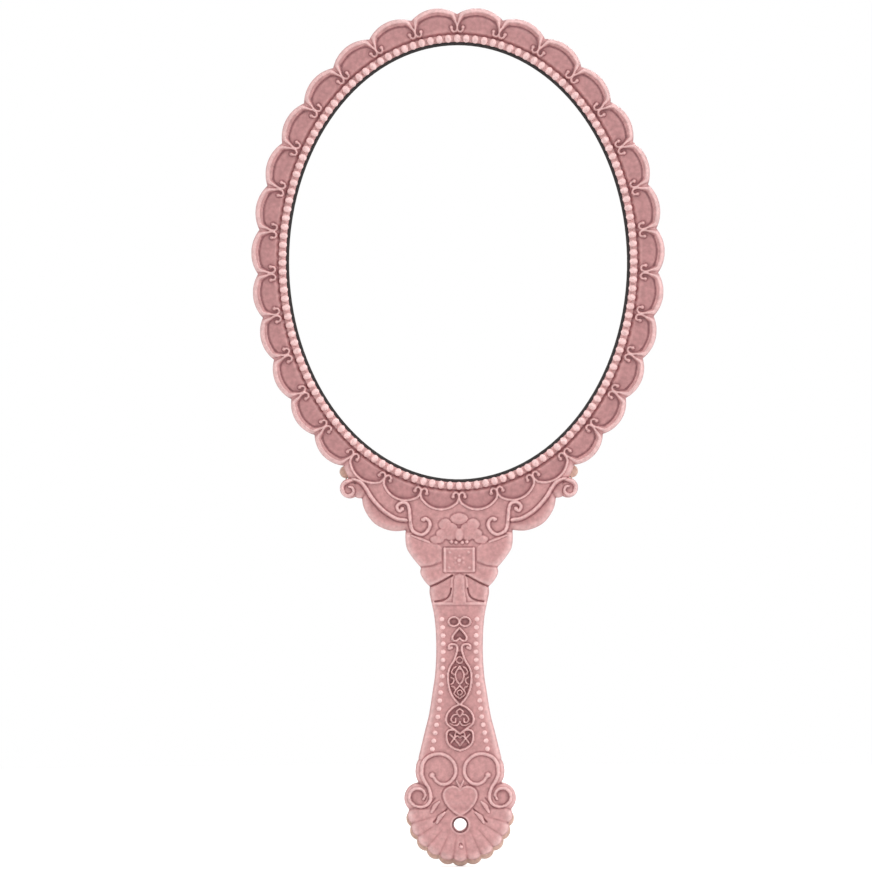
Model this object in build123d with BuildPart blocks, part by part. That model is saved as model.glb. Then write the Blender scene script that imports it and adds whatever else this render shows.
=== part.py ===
from build123d import *
from math import atan2, cos, hypot, pi, radians, sin
import os

# Hand mirror: an oval glass held between the two halves of a moulded body.
# It stands upright: +Z runs from the handle to the head, and its glass faces -Y.
# The origin is the centre of the hang hole, on the parting plane of the two halves.
# All lengths are in millimetres.

# Mirror opening and glass
sight_width = 96.7          # width of the mirror that shows
sight_height = 124.2        # height of the mirror that shows
gasket_sight = 0.6          # gasket that shows between the mirror and the lip
glass_lap = 1.9             # how far the glass runs under the lip
glass_clearance = 0.35      # between the edge of the glass and its pocket
glass_thickness = 2.0
glass_seam = 0.3            # ground edge of the glass
gasket_thickness = 0.5
foam_thickness = 1.2
foam_inset = 5.0            # from the edge of the glass to the edge of the foam

# Head rim
bead_diameter = 2.2
rim_side = 8.4              # from the lip to the valleys, at the sides
rim_end = 8.3               # the same, at the top and the bottom
lobe_count = 32
lobe_drift = 3.2            # the lobes at the sides sit this much below even steps
lobe_rise_side = 2.1        # how far a lobe stands past the valleys, at the sides
lobe_rise_end = 2.5         # the same, at the top and the bottom
border_width = 1.6          # raised border inside the valleys

# Body depths, from the parting plane
front_depth = 4.2
back_depth = 3.4
relief = 1.2                # how far the beads and the scroll work stand out
lip_thickness = 1.6
wall = 2.0

# Handle: half-widths, and heights above the hang hole
handle_length = 89.9        # from the hang hole to the lowest valley of the head
handle_half_end = 11.0      # where the handle meets the end scrolls
handle_half_waist = 6.7
handle_half_neck = 11.0
handle_start = 19.0
waist_drop = 38.4           # from the lowest valley down to the waist
neck_drop = 17.6            # from the lowest valley down to the neck block

# Neck block and shoulders, with heights above the lowest valley of the head
block_half = 15.4
block_middle = -9.0
block_height = 9.0          # raised square on the block
shoulder_edge = ((15.4, -5.6), (21.5, -5.2), (26.0, -1.6), (27.7, 3.0))
shoulder_ball_x = 31.2
shoulder_ball_rise = 6.4
shoulder_ball_radius = 2.9
web_x = 32.4                # web of the back half, between the ball and the head's lobes
web_rise = 11.1
web_radius = 1.8

# Fan-shaped end
scroll_x = 6.6
scroll_z = 15.3
scroll_radius = 6.2
side_scroll_x = 11.6
side_scroll_z = 7.6
side_scroll_radius = 4.4
fan_centre_z = 4.5
fan_radius = 14.4
fan_neck_half = 10.5        # solid middle between the fan and the end scrolls
edge_step = 0.6             # from the outline to the raised scrolls
flute_count = 11
flute_radius = 2.8
back_drop = 1.0             # the back half's fan sits this much lower than the front one's
back_overhang = 0.4         # and is this much larger

# Hang hole, and the pegs that line up the two halves
hang_hole_radius = 1.8
hang_mouth_radius = 2.4
peg_radius = 1.25
peg_clearance = 0.1
peg_reach = 1.8
peg_relief = 0.3            # free depth below the end of a peg
socket_wall = 1.2
head_peg_count = 8
handle_peg_margin = 8.0     # from the ends of the handle hollow to its pegs
hollow_low_gap = 4.0        # from the start of the handle to its hollow
hollow_high_gap = 3.0       # from the hollow to the neck block

# Raised medallion on the back of the head
medallion_half_width = 17.0
medallion_half_height = 24.0

# Sizes that follow from the ones above
sight_a = sight_width / 2
sight_b = sight_height / 2
lip_a = sight_a + gasket_sight
lip_b = sight_b + gasket_sight
glass_a = lip_a + glass_lap
glass_b = lip_b + glass_lap
pocket_a = glass_a + glass_clearance
pocket_b = glass_b + glass_clearance
valley_a = lip_a + rim_side
valley_b = lip_b + rim_end
head_z = handle_length + valley_b
pocket_depth = front_depth - lip_thickness
stack = gasket_thickness + glass_thickness + foam_thickness
recess_depth = stack - pocket_depth
glass_front = pocket_depth - gasket_thickness
glass_back = glass_front - glass_thickness
neck_z = handle_length - neck_drop
waist_z = handle_length - waist_drop
hollow_low = handle_start + hollow_low_gap
hollow_high = neck_z - hollow_high_gap
peg_heights = (hollow_low + handle_peg_margin, hollow_high - handle_peg_margin)

STEPS_PER_ANGLE = 60        # fineness with which arcs along an ellipse are added up

# Sketch planes. An XZ plane faces -Y, so its offsets run towards the front.
parting_plane = Plane.XZ
front_face = Plane.XZ.offset(front_depth)
back_face = Plane(origin=(0, back_depth, 0), x_dir=(-1, 0, 0), z_dir=(0, 1, 0))


def even_angles(half_width, half_height, count, drift=0.0):
    """Angles on an ellipse, clockwise from its top, with equal arcs between them.

    A drift moves those at the sides down along the ellipse by that length, and the
    others by less, so that both halves keep their steps and stay alike.
    """
    steps = count * STEPS_PER_ANGLE
    turn = 2 * pi / steps
    lengths = [0.0]
    for step in range(steps):
        middle = (step + 0.5) * turn
        arc = hypot(half_width * cos(middle), half_height * sin(middle)) * turn
        lengths.append(lengths[-1] + arc)
    angles = []
    step = 0
    for index in range(count):
        share = index / count
        target = lengths[-1] * share + drift * sin(2 * pi * share)
        while lengths[step + 1] < target:
            step += 1
        part = (target - lengths[step]) / (lengths[step + 1] - lengths[step])
        angles.append((step + part) * turn)
    return angles


def on_oval(half_width, half_height, angle):
    """Point of an oval around the head's centre, clockwise from its top."""
    return half_width * sin(angle), head_z + half_height * cos(angle)


def oval_plan(half_width, half_height):
    """Oval around the head's centre."""
    with BuildSketch() as plan:
        with Locations((0, head_z)):
            Ellipse(half_width, half_height)
    return plan.sketch


def ring_plan(half_width, half_height, width):
    """Ring of a constant width, outside an oval around the head's centre."""
    with BuildSketch() as plan:
        with Locations((0, head_z)):
            Ellipse(half_width + width, half_height + width)
            Ellipse(half_width, half_height, mode=Mode.SUBTRACT)
    return plan.sketch


def head_plan():
    """The head's outline: a round lobe between each two valleys of an oval."""
    angles = even_angles(valley_a, valley_b, lobe_count, lobe_drift)
    with BuildSketch() as plan:
        with Locations((0, head_z)):
            Ellipse(valley_a, valley_b)
        for index, angle in enumerate(angles):
            after = angles[(index + 1) % lobe_count]
            x1, z1 = on_oval(valley_a, valley_b, angle)
            x2, z2 = on_oval(valley_a, valley_b, after)
            chord = hypot(x2 - x1, z2 - z1)
            middle_x = (x1 + x2) / 2
            middle_z = (z1 + z2) / 2
            slope = atan2((middle_z - head_z) / valley_b, middle_x / valley_a)
            rise = lobe_rise_side + (lobe_rise_end - lobe_rise_side) * sin(slope) ** 2
            radius = (chord**2 / 4 + rise**2) / (2 * rise)
            inward = (radius - rise) / chord
            centre_x = middle_x + (z2 - z1) * inward
            centre_z = middle_z - (x2 - x1) * inward
            with Locations((centre_x, centre_z)):
                Circle(radius)
    return plan.sketch


def blade_plan(inset=0.0):
    """The handle between the end scrolls and the neck block, waisted in its middle."""
    low = (handle_half_end - inset, handle_start)
    waist = (handle_half_waist - inset, waist_z)
    high = (handle_half_neck - inset, neck_z)
    with BuildSketch() as plan:
        with BuildLine():
            side = Spline(low, waist, high, tangents=[(-0.35, 1), (0.8, 1)])
            mirror(about=Plane.YZ)
            Line(side @ 0, (-low[0], low[1]))
            Line(side @ 1, (-high[0], high[1]))
        make_face()
    return plan.sketch


def shoulder_plan():
    """The neck block and the two shoulders that carry the head."""
    edge = [(x, handle_length + rise) for x, rise in shoulder_edge]
    outer_x = edge[-1][0]
    ball_z = handle_length + shoulder_ball_rise
    with BuildSketch() as plan:
        with BuildLine():
            foot = Line((0, neck_z), (handle_half_neck, neck_z))
            flank = Spline(foot @ 1, (block_half, handle_length + block_middle), edge[0])
            under = Spline(*edge)
            side = Line(under @ 1, (outer_x, ball_z))
            top = Line(side @ 1, (0, ball_z))
            Line(top @ 1, foot @ 0)
        make_face()
        mirror(about=Plane.YZ)
        for side in (-1, 1):
            with Locations((side * shoulder_ball_x, ball_z), (side * outer_x, ball_z)):
                Circle(shoulder_ball_radius)
    return plan.sketch


def end_plan(centre_z, notch):
    """The end of the handle: two scrolls, two side scrolls and a fluted fan."""
    pitch = 180 / flute_count
    half_chord = notch * sin(radians(pitch / 2))
    hub = notch * cos(radians(pitch / 2)) - (flute_radius**2 - half_chord**2) ** 0.5
    with BuildSketch() as plan:
        with BuildLine():
            fan = CenterArc((0, centre_z), notch, 180, 180)
            Line(fan @ 1, fan @ 0)
        make_face()
        with Locations((0, centre_z)):
            with PolarLocations(hub, flute_count, start_angle=180 + pitch / 2, angular_range=180):
                Circle(flute_radius)
            Rectangle(2 * notch, side_scroll_z - centre_z, align=(Align.CENTER, Align.MIN))
            Rectangle(2 * fan_neck_half, scroll_z - centre_z, align=(Align.CENTER, Align.MIN))
        with Locations((scroll_x, scroll_z), (-scroll_x, scroll_z)):
            Circle(scroll_radius)
        with Locations((side_scroll_x, side_scroll_z), (-side_scroll_x, side_scroll_z)):
            Circle(side_scroll_radius)
        with Locations((0, handle_start)):
            Rectangle(2 * scroll_x, 2 * (handle_start - scroll_z))
    return plan.sketch


def body_plan(end):
    """Outline of a half of the body, from its fan end to the top of the head."""
    pieces = (head_plan(), shoulder_plan(), blade_plan(), end)
    with BuildSketch() as plan:
        for piece in pieces:
            add(piece)
    return plan.sketch


def hollow_plan():
    """The handle's hollow: the blade less its walls, between two straight ends."""
    blade = blade_plan(wall)
    with BuildSketch() as plan:
        add(blade)
        with Locations((0, hollow_low)):
            Rectangle(
                2 * handle_half_neck,
                hollow_high - hollow_low,
                align=(Align.CENTER, Align.MIN),
                mode=Mode.INTERSECT,
            )
    return plan.sketch


def raised_plan():
    """What stands out on both halves: the border, the beads, the scrolls and the block."""
    border = head_plan()
    beads = ring_plan(lip_a, lip_b, bead_diameter)
    edge_of_border = oval_plan(valley_a - border_width, valley_b - border_width)
    ball_z = handle_length + shoulder_ball_rise
    with BuildSketch() as plan:
        add(border)
        add(edge_of_border, mode=Mode.SUBTRACT)
        add(beads)
        with Locations((shoulder_ball_x, ball_z), (-shoulder_ball_x, ball_z)):
            Circle(shoulder_ball_radius - edge_step)
        with Locations((0, handle_length + block_middle)):
            Rectangle(2 * handle_half_neck, block_height)
        with Locations((scroll_x, scroll_z), (-scroll_x, scroll_z)):
            Circle(scroll_radius - edge_step)
    return plan.sketch


front_plan = body_plan(end_plan(fan_centre_z, fan_radius))
back_plan = body_plan(end_plan(fan_centre_z - back_drop, fan_radius + back_overhang))
hollow = hollow_plan()
raised = raised_plan()
pocket = oval_plan(pocket_a, pocket_b)
opening = oval_plan(lip_a, lip_b)
glass_plan = oval_plan(glass_a, glass_b)
gasket_plan = ring_plan(sight_a, sight_b, gasket_sight + glass_lap)
foam_plan = oval_plan(glass_a - foam_inset, glass_b - foam_inset)
medallion = oval_plan(medallion_half_width, medallion_half_height)

# Places of the pegs: round the head between the pocket and the valleys, and in the handle
peg_a = (pocket_a + valley_a) / 2
peg_b = (pocket_b + valley_b) / 2
peg_turn = pi / head_peg_count
head_pegs = [
    on_oval(peg_a, peg_b, angle + peg_turn)
    for angle in even_angles(peg_a, peg_b, head_peg_count)
]
handle_pegs = [(0, height) for height in peg_heights]

# Front half: a plate with its raised work, open for the glass and hollow in the handle
with BuildPart() as front_frame:
    with BuildSketch(parting_plane):
        add(front_plan)
    extrude(amount=front_depth)
    with BuildSketch(front_face):
        add(raised)
    extrude(amount=relief)
    with BuildSketch(parting_plane):
        add(opening)
    extrude(amount=front_depth + relief, mode=Mode.SUBTRACT)
    with BuildSketch(parting_plane):
        add(pocket)
    extrude(amount=pocket_depth, mode=Mode.SUBTRACT)
    with BuildSketch(parting_plane):
        add(hollow)
    extrude(amount=front_depth - wall, mode=Mode.SUBTRACT)
    with BuildSketch(parting_plane):
        with Locations(handle_pegs):
            Circle(peg_radius)
    extrude(amount=front_depth - wall)
    with BuildSketch(parting_plane):
        with Locations(head_pegs + handle_pegs):
            Circle(peg_radius)
    extrude(amount=-peg_reach)
    with Locations(front_face):
        CounterSinkHole(radius=hang_hole_radius, counter_sink_radius=hang_mouth_radius)
front_frame.part.label = "front_frame"

# Back half: closed behind the glass, with sockets for the pegs
with BuildPart() as back_shell:
    with BuildSketch(parting_plane):
        add(back_plan)
        for side in (-1, 1):
            with Locations((side * web_x, handle_length + web_rise)):
                Circle(web_radius)
    extrude(amount=-back_depth)
    with BuildSketch(parting_plane.offset(-back_depth)):
        add(raised)
        add(medallion)
    extrude(amount=-relief)
    with BuildSketch(parting_plane):
        add(pocket)
    extrude(amount=-recess_depth, mode=Mode.SUBTRACT)
    with BuildSketch(parting_plane):
        add(hollow)
        with Locations(handle_pegs):
            Circle(peg_radius + peg_clearance + socket_wall, mode=Mode.SUBTRACT)
    extrude(amount=wall - back_depth, mode=Mode.SUBTRACT)
    with BuildSketch(parting_plane):
        with Locations(head_pegs + handle_pegs):
            Circle(peg_radius + peg_clearance)
    extrude(amount=-(peg_reach + peg_relief), mode=Mode.SUBTRACT)
    with Locations(back_face):
        CounterSinkHole(radius=hang_hole_radius, counter_sink_radius=hang_mouth_radius)
back_shell.part.label = "back_shell"

# Black ring between the lip and the glass
with BuildPart() as glass_gasket:
    with BuildSketch(parting_plane.offset(glass_front)):
        add(gasket_plan)
    extrude(amount=gasket_thickness)
glass_gasket.part.label = "glass_gasket"

# Mirror, silvered on its back, with its edges ground
with BuildPart() as mirror_glass:
    with BuildSketch(parting_plane.offset(glass_back)):
        add(glass_plan)
    extrude(amount=glass_thickness)
    chamfer(mirror_glass.faces().filter_by(Axis.Y).edges(), glass_seam)
mirror_glass.part.label = "mirror_glass"

# Foam between the glass and the back half
with BuildPart() as foam_pad:
    with BuildSketch(parting_plane.offset(glass_back)):
        add(foam_plan)
    extrude(amount=-foam_thickness)
foam_pad.part.label = "foam_pad"

os.makedirs("parts", exist_ok=True)
export_step(front_frame.part, "parts/front_frame.step")
export_step(back_shell.part, "parts/back_shell.step")
export_step(glass_gasket.part, "parts/glass_gasket.step")
export_step(mirror_glass.part, "parts/mirror_glass.step")
export_step(foam_pad.part, "parts/foam_pad.step")
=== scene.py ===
from math import atan2, cos, hypot, radians, sin, tau

import bmesh
import bpy
import numpy as np
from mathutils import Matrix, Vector


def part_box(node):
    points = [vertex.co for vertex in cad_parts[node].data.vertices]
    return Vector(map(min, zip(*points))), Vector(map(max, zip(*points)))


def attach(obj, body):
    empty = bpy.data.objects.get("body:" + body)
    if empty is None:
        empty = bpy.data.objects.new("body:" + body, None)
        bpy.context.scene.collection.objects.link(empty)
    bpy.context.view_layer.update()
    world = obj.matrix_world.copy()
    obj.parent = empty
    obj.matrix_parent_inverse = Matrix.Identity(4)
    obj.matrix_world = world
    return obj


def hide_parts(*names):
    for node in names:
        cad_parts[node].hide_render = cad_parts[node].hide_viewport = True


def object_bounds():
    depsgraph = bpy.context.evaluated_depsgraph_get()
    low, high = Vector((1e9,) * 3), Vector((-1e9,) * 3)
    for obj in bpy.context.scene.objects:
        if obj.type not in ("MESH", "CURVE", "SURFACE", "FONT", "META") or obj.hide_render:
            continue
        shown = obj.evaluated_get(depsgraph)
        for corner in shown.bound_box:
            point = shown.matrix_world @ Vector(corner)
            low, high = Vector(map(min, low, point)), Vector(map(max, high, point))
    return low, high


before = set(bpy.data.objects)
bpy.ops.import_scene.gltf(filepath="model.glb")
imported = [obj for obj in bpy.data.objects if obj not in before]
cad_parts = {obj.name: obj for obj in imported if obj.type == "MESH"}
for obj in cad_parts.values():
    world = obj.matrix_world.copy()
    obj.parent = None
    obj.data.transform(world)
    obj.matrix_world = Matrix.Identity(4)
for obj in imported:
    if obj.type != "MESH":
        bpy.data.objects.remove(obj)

bl_info = {
    "name": "Hand mirror",
    "version": (1, 0, 0),
    "blender": (4, 5, 0),
    "location": "View3D > Sidebar > Hand mirror",
    "description": "Builds the moulded hand mirror around its measured frame",
    "category": "Object",
}

MM = 0.001
CAD_BOX = [list(corner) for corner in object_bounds()]


def in_mm(corner):
    """A corner of a frame box, in millimetres."""
    return [value / MM for value in corner]


GLASS_LOW, GLASS_HIGH = (in_mm(corner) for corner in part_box("mirror_glass"))
FRONT_LOW, FRONT_HIGH = (in_mm(corner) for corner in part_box("front_frame"))
BACK_LOW, BACK_HIGH = (in_mm(corner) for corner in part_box("back_shell"))

# Plan of the body, in millimetres: X across, Z up from the hang hole
HEAD_Z = (GLASS_LOW[2] + GLASS_HIGH[2]) / 2
GLASS_A = GLASS_HIGH[0]
GLASS_B = GLASS_HIGH[2] - HEAD_Z
LIP_A = GLASS_A - 1.9
LIP_B = GLASS_B - 1.9
SIGHT_A = LIP_A - 0.6
SIGHT_B = LIP_B - 0.6
VALLEY_A = LIP_A + 8.4
VALLEY_B = LIP_B + 8.3
LOBES = 32
LOBE_DRIFT = 3.2
LOBE_RISE_SIDE = 2.1
LOBE_RISE_END = 2.5
OUTLINE_MARGIN = 0.03
POCKET_LEVEL = 2.6
RECESS_LEVEL = 1.1
POCKET_GAP = 2.25
BEAD_LIP = 0.3
PARTING_CHAMFER = 0.3
BEAD_RING = 1.28
# Shading given to the body's walls: a little below level, so they are painted slightly darker than the
# base.
WALL_PAINTED_SHADING = 0.45
HEAD_SPLIT_Z = 106
NECK_SPLIT_Z = 66.0
FLOOR_RADIUS = 0.6
FLOOR_SIDES = 96

HANDLE_SIDE = ((11.9, 19.0), (10.0, 26.8), (8.85, 31.4), (7.7, 38.5), (7.05, 43.0), (6.7, 49.0),
               (6.8, 55.0), (7.2, 59.5), (7.7, 62.2), (8.2, 64.5), (8.55, 66.5), (8.45, 68.1))
BLOCK_SIDE = ((8.45, 68.1), (9.8, 69.5), (10.9, 71.3), (11.2, 72.6), (11.0, 73.5), (12.0, 74.7),
              (13.5, 76.6), (14.8, 78.6), (15.3, 80.5), (15.4, 82.6), (15.3, 84.2))
SHOULDER_SIDE = ((15.3, 84.2), (18.5, 84.0), (21.5, 84.7), (24.2, 86.2), (26.0, 88.3),
                 (27.2, 90.6), (27.7, 92.9), (27.7, 96.3))
BALL = (31.2, 96.3, 2.9)
WEB = (32.4, 101.0, 1.8)


def smooth_line(points, step=0.25, closed=False):
    """Points a small step apart along a smooth curve through the given ones."""
    given = np.asarray(points, float)
    if closed:
        given = np.vstack([given[-1:], given, given[:2]])
    else:
        given = np.vstack([2 * given[0] - given[1], given, 2 * given[-1] - given[-2]])
    runs = []
    for before, start, end, after in zip(given, given[1:], given[2:], given[3:]):
        count = max(2, int(np.ceil(hypot(*(end - start)) / step)))
        part = np.arange(count)[:, None] / count
        bend = 2 * before - 5 * start + 4 * end - after
        twist = 3 * start - before - 3 * end + after
        runs.append(start + 0.5 * ((end - before) * part + bend * part**2 + twist * part**3))
    runs.append(given[-2:-1])
    return np.vstack(runs)


SHOULDER_SCROLL = smooth_line([(33.4, 96.1), (33.2, 97.3), (31.9, 98.3), (30.2, 98.7),
                               (28.2, 98.1), (26.8, 96.6), (25.3, 94.1), (23.6, 91.9),
                               (21.6, 89.9), (19.6, 88.5), (17.6, 87.5), (15.2, 87.1)])
SHOULDER_HOOK = smooth_line([(16.2, 90.3), (17.1, 89.8), (17.7, 90.9), (17.1, 91.9), (15.9, 92.2),
                             (14.8, 91.8), (14.3, 90.4), (14.1, 88.5), (13.9, 86.0), (13.4, 84.4),
                             (12.2, 83.4), (10.7, 83.0), (9.3, 83.8), (8.4, 85.3), (8.5, 86.7),
                             (9.5, 87.6), (10.4, 87.3)])


def circle_line(x, z, radius, start=0.0, turn=360.0, count=40):
    """Points along an arc, from an angle in degrees."""
    angles = np.radians(start + turn * np.arange(count + 1) / count)
    return np.column_stack([x + radius * np.cos(angles), z + radius * np.sin(angles)])


def to_line(x, z, line):
    """Distance from points to a line of short straight runs, and how many runs along it is nearest."""
    best = np.full(x.shape, np.inf)
    place = np.zeros(x.shape)
    for index, (start, end) in enumerate(zip(line, line[1:])):
        run = end - start
        length = max(run @ run, 1e-12)
        along = np.clip(((x - start[0]) * run[0] + (z - start[1]) * run[1]) / length, 0, 1)
        apart = (x - start[0] - along * run[0]) ** 2 + (z - start[1] - along * run[1]) ** 2
        nearer = apart < best
        best = np.where(nearer, apart, best)
        place = np.where(nearer, index + along, place)
    return np.sqrt(best), place


def within(x, z, loop):
    """Whether points lie inside a closed loop."""
    odd = np.zeros(x.shape, bool)
    for start, end in zip(loop, np.roll(loop, -1, axis=0)):
        if start[1] != end[1]:
            crosses = (start[1] > z) != (end[1] > z)
            at = start[0] + (z - start[1]) * (end[0] - start[0]) / (end[1] - start[1])
            odd ^= crosses & (x < at)
    return odd


def from_oval(x, z, half_width, half_height):
    """Distance outwards from an oval around the head's centre, near its edge."""
    across = x / half_width
    along = (z - HEAD_Z) / half_height
    ratio = np.maximum(np.hypot(across, along), 1e-6)
    slope = np.hypot(across / half_width, along / half_height) / ratio
    return (ratio - 1) / slope


def even_angles(half_width, half_height, count, drift=0.0):
    """Angles on an oval, clockwise from its top, with equal arcs between them."""
    steps = count * 60
    middles = (np.arange(steps) + 0.5) * tau / steps
    arcs = np.hypot(half_width * np.cos(middles), half_height * np.sin(middles)) * tau / steps
    lengths = np.concatenate([[0.0], np.cumsum(arcs)])
    shares = np.arange(count) / count
    targets = lengths[-1] * shares + drift * np.sin(tau * shares)
    return np.interp(targets, lengths, np.arange(steps + 1) * tau / steps)


def lobes():
    """For each lobe of the head: its chord's middle, half chord, directions, rise and radius."""
    angles = even_angles(VALLEY_A, VALLEY_B, LOBES, LOBE_DRIFT)
    found = []
    for first, after in zip(angles, np.roll(angles, -1)):
        one = np.array((VALLEY_A * sin(first), HEAD_Z + VALLEY_B * cos(first)))
        two = np.array((VALLEY_A * sin(after), HEAD_Z + VALLEY_B * cos(after)))
        middle = (one + two) / 2
        half = hypot(*(two - one)) / 2
        along = (two - one) / (2 * half)
        outward = np.array((-along[1], along[0]))
        slope = atan2((middle[1] - HEAD_Z) / VALLEY_B, middle[0] / VALLEY_A)
        rise = LOBE_RISE_SIDE + (LOBE_RISE_END - LOBE_RISE_SIDE) * sin(slope) ** 2
        found.append((middle, half, along, outward, rise, (half**2 + rise**2) / (2 * rise)))
    return found


LOBE_LIST = lobes()


def soften(field, times):
    """Evens a field out over its neighbours."""
    for _ in range(times):
        middle = 4 * field[1:-1, 1:-1] + field[:-2, 1:-1] + field[2:, 1:-1]
        field[1:-1, 1:-1] = (middle + field[1:-1, :-2] + field[1:-1, 2:]) / 8
    return field


def eased(value):
    """Smooth step from 0 to 1."""
    value = np.clip(value, 0, 1)
    return value * value * (3 - 2 * value)


class Relief:
    """One face of the body, as heights from the parting plane over a square net of points."""

    def __init__(self, low_z, high_z, half_width, pitch):
        self.pitch = pitch
        across = pitch * np.arange(-int(half_width / pitch) - 2, int(half_width / pitch) + 3)
        up = np.arange(low_z - 2 * pitch, high_z + 3 * pitch, pitch)
        self.x, self.z = np.meshgrid(across, up, indexing="ij")
        self.edge = np.full(self.x.shape, 99.0)
        self.ground = np.zeros(self.x.shape)
        self.up = np.zeros(self.x.shape)
        self.down = np.zeros(self.x.shape)
        # Painted shade laid on the relief's shading: above zero paints darker, below zero paints paler.
        self.painted_shade = np.zeros(self.x.shape)

    def near(self, line, reach):
        """The part of the net around a line."""
        low = np.floor((np.min(line, axis=0) - reach - (self.x[0, 0], self.z[0, 0])) / self.pitch)
        high = np.ceil((np.max(line, axis=0) + reach - (self.x[0, 0], self.z[0, 0])) / self.pitch)
        low = np.maximum(low.astype(int), 0)
        high = np.maximum(high.astype(int), low + 1)
        return slice(low[0], high[0] + 1), slice(low[1], high[1] + 1)

    def join_circle(self, x, z, radius):
        """Adds a round to the outline."""
        part = self.near([(x, z)], radius + 4)
        away = np.hypot(self.x[part] - x, self.z[part] - z) - radius
        self.edge[part] = np.minimum(self.edge[part], away)

    def join_loop(self, loop):
        """Adds a closed loop to the outline."""
        loop = np.asarray(loop, float)
        part = self.near(loop, 4)
        x, z = self.x[part], self.z[part]
        away = to_line(x, z, np.vstack([loop, loop[:1]]))[0]
        away = np.where(within(x, z, loop), -away, away)
        self.edge[part] = np.minimum(self.edge[part], away)

    def rib(self, line, width, rise, moat=0.12, sides=(1,)):
        """A rounded rib along a line, with a slight groove at its foot.

        The width is one number, or a list of them from the line's start to its end.
        """
        widths = np.atleast_1d(np.asarray(width, float))
        steps = np.linspace(0, len(line) - 1, len(widths))
        for side in sides:
            turned = np.asarray(line) * (side, 1)
            part = self.near(turned, widths.max())
            away, place = to_line(self.x[part], self.z[part], turned)
            here = np.interp(place, steps, widths)
            away = away / (here / 2)
            bump = rise * np.sqrt(np.clip(1 - away**2, 0, 1))
            foot = moat * np.clip(1 - ((away - 1.25) / 0.4) ** 2, 0, 1)
            self.up[part] = np.maximum(self.up[part], bump)
            self.down[part] = np.maximum(self.down[part], foot)

    def dome(self, x, z, radius, rise, squash=1.0, sides=(1,)):
        """A rounded knob; a squash below 1 makes it lower than it is wide."""
        for side in sides:
            part = self.near([(side * x, z)], radius * 1.6)
            away = np.hypot(self.x[part] - side * x, (self.z[part] - z) / squash) / radius
            bump = rise * np.sqrt(np.clip(1 - away**2, 0, 1))
            foot = 0.12 * np.clip(1 - ((away - 1.25) / 0.35) ** 2, 0, 1)
            self.up[part] = np.maximum(self.up[part], bump)
            self.down[part] = np.maximum(self.down[part], foot)

    def pad(self, loop, rise, soft=0.8, moat=0.15, sides=(1,)):
        """A raised flat with rounded edges."""
        for side in sides:
            turned = np.asarray(loop) * (side, 1)
            part = self.near(turned, 1)
            x, z = self.x[part], self.z[part]
            away = to_line(x, z, np.vstack([turned, turned[:1]]))[0]
            inner = within(x, z, turned)
            share = 1 - np.clip(away / soft, 0, 1)
            bump = np.where(inner, rise * np.sqrt(1 - share**2), 0)
            foot = np.where(inner, 0, moat * np.clip(1 - ((away - 0.2) / 0.35) ** 2, 0, 1))
            self.up[part] = np.maximum(self.up[part], bump)
            self.down[part] = np.maximum(self.down[part], foot)

    def sink(self, loop, depth, soft=0.35, sides=(1,), shade=0.0):
        """A recess with soft edges; the shade paints its floor darker, as painted shade."""
        for side in sides:
            turned = np.asarray(loop) * (side, 1)
            part = self.near(turned, 1)
            x, z = self.x[part], self.z[part]
            away = to_line(x, z, np.vstack([turned, turned[:1]]))[0]
            inner = within(x, z, turned)
            drop = np.where(inner, depth * eased(away / soft), 0)
            self.ground[part] -= drop
            self.painted_shade[part] = np.maximum(self.painted_shade[part], shade * drop / depth)

    def terrace(self, loop, level, soft=0.3, sides=(1,)):
        """Brings the ground inside a loop to one level, with soft edges."""
        for side in sides:
            turned = np.asarray(loop) * (side, 1)
            part = self.near(turned, 1)
            x, z = self.x[part], self.z[part]
            away = to_line(x, z, np.vstack([turned, turned[:1]]))[0]
            share = np.where(within(x, z, turned), eased(away / soft), 0)
            self.ground[part] += (level - self.ground[part]) * share

    def groove(self, line, width, depth, sides=(1,)):
        """A narrow groove along a line."""
        for side in sides:
            turned = np.asarray(line) * (side, 1)
            part = self.near(turned, width)
            away = to_line(self.x[part], self.z[part], turned)[0] / (width / 2)
            self.down[part] = np.maximum(self.down[part], depth * np.clip(1 - away**2, 0, 1))

    def heights(self, top):
        """The finished heights, never past the given one."""
        kept = np.clip(1 - self.up / 0.2, 0, 1)
        return np.minimum(self.ground + self.up - self.down * kept, top)


def body_outline(relief, fan_z, notch, web):
    """Lays the outline of a half of the body on its net."""
    relief.edge = np.minimum(relief.edge, from_oval(relief.x, relief.z, VALLEY_A, VALLEY_B))
    for middle, _, _, outward, rise, radius in LOBE_LIST:
        centre = middle + outward * (rise - radius)
        relief.join_circle(centre[0], centre[1], radius)
    side = np.vstack([
        smooth_line(HANDLE_SIDE, 0.5)[:-1],
        smooth_line(BLOCK_SIDE, 0.5)[:-1],
        smooth_line(SHOULDER_SIDE, 0.5),
        [(24.0, 103.5), (12.0, 101.0)],
    ])
    low = np.array([(6.0, 10.0), (10.0, 12.0)])
    right = np.vstack([low, side])
    relief.join_loop(np.vstack([right, right[::-1] * (-1, 1)]))
    for sign in (-1, 1):
        relief.join_circle(sign * BALL[0], BALL[1], BALL[2])
        relief.join_circle(sign * (BALL[0] - 3), BALL[1], BALL[2])
        relief.join_circle(sign * 6.6, 15.3, 6.2)
        relief.join_circle(sign * 11.6, 7.6, 4.4)
        if web:
            relief.join_circle(sign * WEB[0], WEB[1], WEB[2])
    pitch = 180 / 11
    half_chord = notch * sin(radians(pitch / 2))
    hub = notch * cos(radians(pitch / 2)) - (2.8**2 - half_chord**2) ** 0.5
    for index in range(11):
        angle = radians(180 + pitch / 2 + index * pitch)
        relief.join_circle(hub * cos(angle), fan_z + hub * sin(angle), 2.8)
    fan = circle_line(0, fan_z, notch, 180, 180)
    relief.join_loop(np.vstack([fan, [(notch, 7.6), (10.5, 7.6), (10.5, 15.3)],
                                [(-10.5, 15.3), (-10.5, 7.6), (-notch, 7.6)]]))
    relief.edge += OUTLINE_MARGIN


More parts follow.
